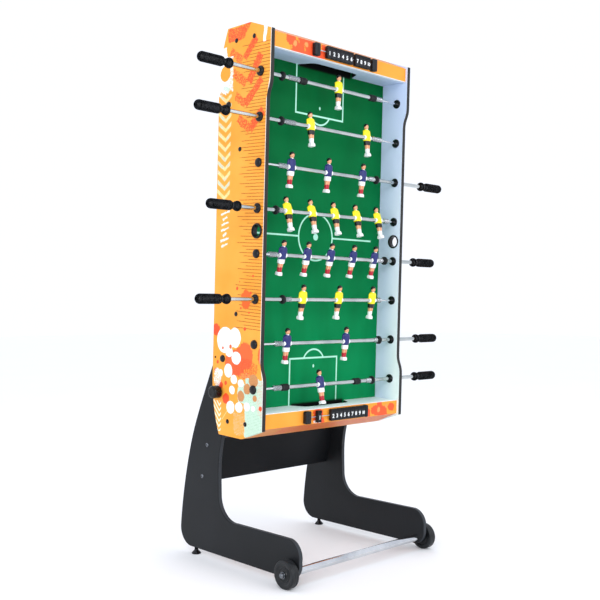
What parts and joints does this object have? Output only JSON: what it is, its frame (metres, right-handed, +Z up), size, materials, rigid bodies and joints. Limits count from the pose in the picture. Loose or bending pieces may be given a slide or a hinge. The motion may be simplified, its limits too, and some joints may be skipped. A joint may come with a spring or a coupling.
{
  "type": "foosball table",
  "caption": "Folding table-football game stored upright: a cabinet pivots on an L-legged wheeled stand, with spinning, sliding player rods.",
  "frame": {"origin": "centre of the bounding box, on the floor", "axes": "+X to the right across the table, along the rods; +Y to the rear; +Z up"},
  "size_m": [1.072, 0.5692, 1.6138],
  "materials": {
    "black_board": "satin",
    "black_steel": "gloss",
    "chrome": "polished",
    "black_plastic": "satin",
    "wheel_rubber": "matte",
    "orange_board": "printed laminate",
    "pale_board": "printed laminate",
    "green_board": "printed laminate",
    "bead_plastic": "gloss",
    "handle_plastic": "textured",
    "yellow_player": "gloss",
    "blue_player": "gloss"
  },
  "bodies": {
    "stand": {"stand_left_panel": "black_board", "stand_right_panel": "black_board", "stand_cross_board": "black_board", "stand_bolts": "black_steel", "axle_bar": "chrome", "levelling_feet": "black_plastic"},
    "left_wheel": {"left_wheel": "wheel_rubber"},
    "right_wheel": {"right_wheel": "wheel_rubber"},
    "cabinet": {"left_side_wall": "orange_board", "right_side_wall": "orange_board", "edge_trims": "black_plastic", "lower_end_cover": "orange_board", "upper_end_cover": "orange_board", "goal_walls": "pale_board", "goal_boxes": "black_plastic", "playfield": "green_board", "rod_bearings": "black_plastic", "ball_cups": "black_plastic", "cabinet_bolts": "black_steel", "score_brackets": "black_plastic"},
    "left_lock_knob": {"left_lock_knob": "black_plastic"},
    "right_lock_knob": {"right_lock_knob": "black_plastic"},
    "upper_beads_left": {"upper_beads_left": "bead_plastic"},
    "upper_beads_right": {"upper_beads_right": "bead_plastic"},
    "lower_bead_left": {"lower_bead_left": "bead_plastic"},
    "lower_beads_right": {"lower_beads_right": "bead_plastic"},
    "folding_leg": {"leg_panels": "black_board", "leg_cross_board": "black_board"},
    "rod_1_core": {"rod_1_core": "chrome"},
    "rod_1": {"rod_1_tube": "chrome", "rod_1_players": "yellow_player", "rod_1_handle": "handle_plastic"},
    "rod_2_core": {"rod_2_core": "chrome"},
    "rod_2": {"rod_2_tube": "chrome", "rod_2_players": "yellow_player", "rod_2_handle": "handle_plastic"},
    "rod_3_core": {"rod_3_core": "chrome"},
    "rod_3": {"rod_3_tube": "chrome", "rod_3_players": "blue_player", "rod_3_handle": "handle_plastic"},
    "rod_4_core": {"rod_4_core": "chrome"},
    "rod_4": {"rod_4_tube": "chrome", "rod_4_players": "yellow_player", "rod_4_handle": "handle_plastic"},
    "rod_5_core": {"rod_5_core": "chrome"},
    "rod_5": {"rod_5_tube": "chrome", "rod_5_players": "blue_player", "rod_5_handle": "handle_plastic"},
    "rod_6_core": {"rod_6_core": "chrome"},
    "rod_6": {"rod_6_tube": "chrome", "rod_6_players": "yellow_player", "rod_6_handle": "handle_plastic"},
    "rod_7_core": {"rod_7_core": "chrome"},
    "rod_7": {"rod_7_tube": "chrome", "rod_7_players": "blue_player", "rod_7_handle": "handle_plastic"},
    "rod_8_core": {"rod_8_core": "chrome"},
    "rod_8": {"rod_8_tube": "chrome", "rod_8_players": "blue_player", "rod_8_handle": "handle_plastic"}
  },
  "joints": [
    {"name": "cabinet_fold", "type": "hinge", "parent": "stand", "child": "cabinet", "pos_m": [0, 0.0348, 0.62608], "axis": [-1, 0, 0], "range_deg": [0, 92.1]},
    {"name": "leg_fold", "type": "hinge", "parent": "cabinet", "child": "folding_leg", "pos_m": [0, 0.00703, 1.38357], "axis": [1, 0, 0], "range_deg": [0, 90]},
    {"name": "left_wheel_turn", "type": "hinge", "parent": "stand", "child": "left_wheel", "pos_m": [-0.3, -0.2445, 0.04], "axis": [1, 0, 0], "continuous": true},
    {"name": "right_wheel_turn", "type": "hinge", "parent": "stand", "child": "right_wheel", "pos_m": [0.3, -0.2445, 0.04], "axis": [1, 0, 0], "continuous": true},
    {"name": "left_lock_knob_turn", "type": "hinge", "parent": "cabinet", "child": "left_lock_knob", "pos_m": [-0.32, 0.0505, 0.52558], "axis": [1, 0, 0], "range_deg": [-180, 180]},
    {"name": "right_lock_knob_turn", "type": "hinge", "parent": "cabinet", "child": "right_lock_knob", "pos_m": [0.32, 0.0505, 0.52558], "axis": [1, 0, 0], "range_deg": [-180, 180]},
    {"name": "upper_beads_left_slide", "type": "slide", "parent": "cabinet", "child": "upper_beads_left", "axis": [1, 0, 0], "range_m": [-0.028, 0.0045]},
    {"name": "upper_beads_right_slide", "type": "slide", "parent": "cabinet", "child": "upper_beads_right", "axis": [1, 0, 0], "range_m": [-0.0045, 0.0095]},
    {"name": "lower_bead_left_slide", "type": "slide", "parent": "cabinet", "child": "lower_bead_left", "axis": [1, 0, 0], "range_m": [-0.0265, 0.02]},
    {"name": "lower_beads_right_slide", "type": "slide", "parent": "cabinet", "child": "lower_beads_right", "axis": [1, 0, 0], "range_m": [-0.02, 0.0005]},
    {"name": "rod_1_spin", "type": "hinge", "parent": "cabinet", "child": "rod_1_core", "pos_m": [0, -0.14089, 1.4577], "axis": [1, 0, 0], "continuous": true},
    {"name": "rod_1_slide", "type": "slide", "parent": "rod_1_core", "child": "rod_1", "axis": [1, 0, 0], "range_m": [-0.062, 0.0725]},
    {"name": "rod_2_spin", "type": "hinge", "parent": "cabinet", "child": "rod_2_core", "pos_m": [0, -0.13609, 1.32678], "axis": [1, 0, 0], "continuous": true},
    {"name": "rod_2_slide", "type": "slide", "parent": "rod_2_core", "child": "rod_2", "axis": [1, 0, 0], "range_m": [-0.062, 0.0705]},
    {"name": "rod_3_spin", "type": "hinge", "parent": "cabinet", "child": "rod_3_core", "pos_m": [0, -0.13129, 1.19587], "axis": [1, 0, 0], "continuous": true},
    {"name": "rod_3_slide", "type": "slide", "parent": "rod_3_core", "child": "rod_3", "axis": [1, 0, 0], "range_m": [-0.0565, 0.086]},
    {"name": "rod_4_spin", "type": "hinge", "parent": "cabinet", "child": "rod_4_core", "pos_m": [0, -0.12649, 1.06496], "axis": [1, 0, 0], "continuous": true},
    {"name": "rod_4_slide", "type": "slide", "parent": "rod_4_core", "child": "rod_4", "axis": [1, 0, 0], "range_m": [-0.049, 0.0235]},
    {"name": "rod_5_spin", "type": "hinge", "parent": "cabinet", "child": "rod_5_core", "pos_m": [0, -0.12169, 0.93405], "axis": [1, 0, 0], "continuous": true},
    {"name": "rod_5_slide", "type": "slide", "parent": "rod_5_core", "child": "rod_5", "axis": [1, 0, 0], "range_m": [-0.0265, 0.035]},
    {"name": "rod_6_spin", "type": "hinge", "parent": "cabinet", "child": "rod_6_core", "pos_m": [0, -0.11689, 0.80314], "axis": [1, 0, 0], "continuous": true},
    {"name": "rod_6_slide", "type": "slide", "parent": "rod_6_core", "child": "rod_6", "axis": [1, 0, 0], "range_m": [-0.085, 0.0505]},
    {"name": "rod_7_spin", "type": "hinge", "parent": "cabinet", "child": "rod_7_core", "pos_m": [0, -0.11209, 0.67222], "axis": [1, 0, 0], "continuous": true},
    {"name": "rod_7_slide", "type": "slide", "parent": "rod_7_core", "child": "rod_7", "axis": [1, 0, 0], "range_m": [-0.0585, 0.053]},
    {"name": "rod_8_spin", "type": "hinge", "parent": "cabinet", "child": "rod_8_core", "pos_m": [0, -0.10729, 0.54131], "axis": [1, 0, 0], "continuous": true},
    {"name": "rod_8_slide", "type": "slide", "parent": "rod_8_core", "child": "rod_8", "axis": [1, 0, 0], "range_m": [-0.0575, 0.082]}
  ]
}
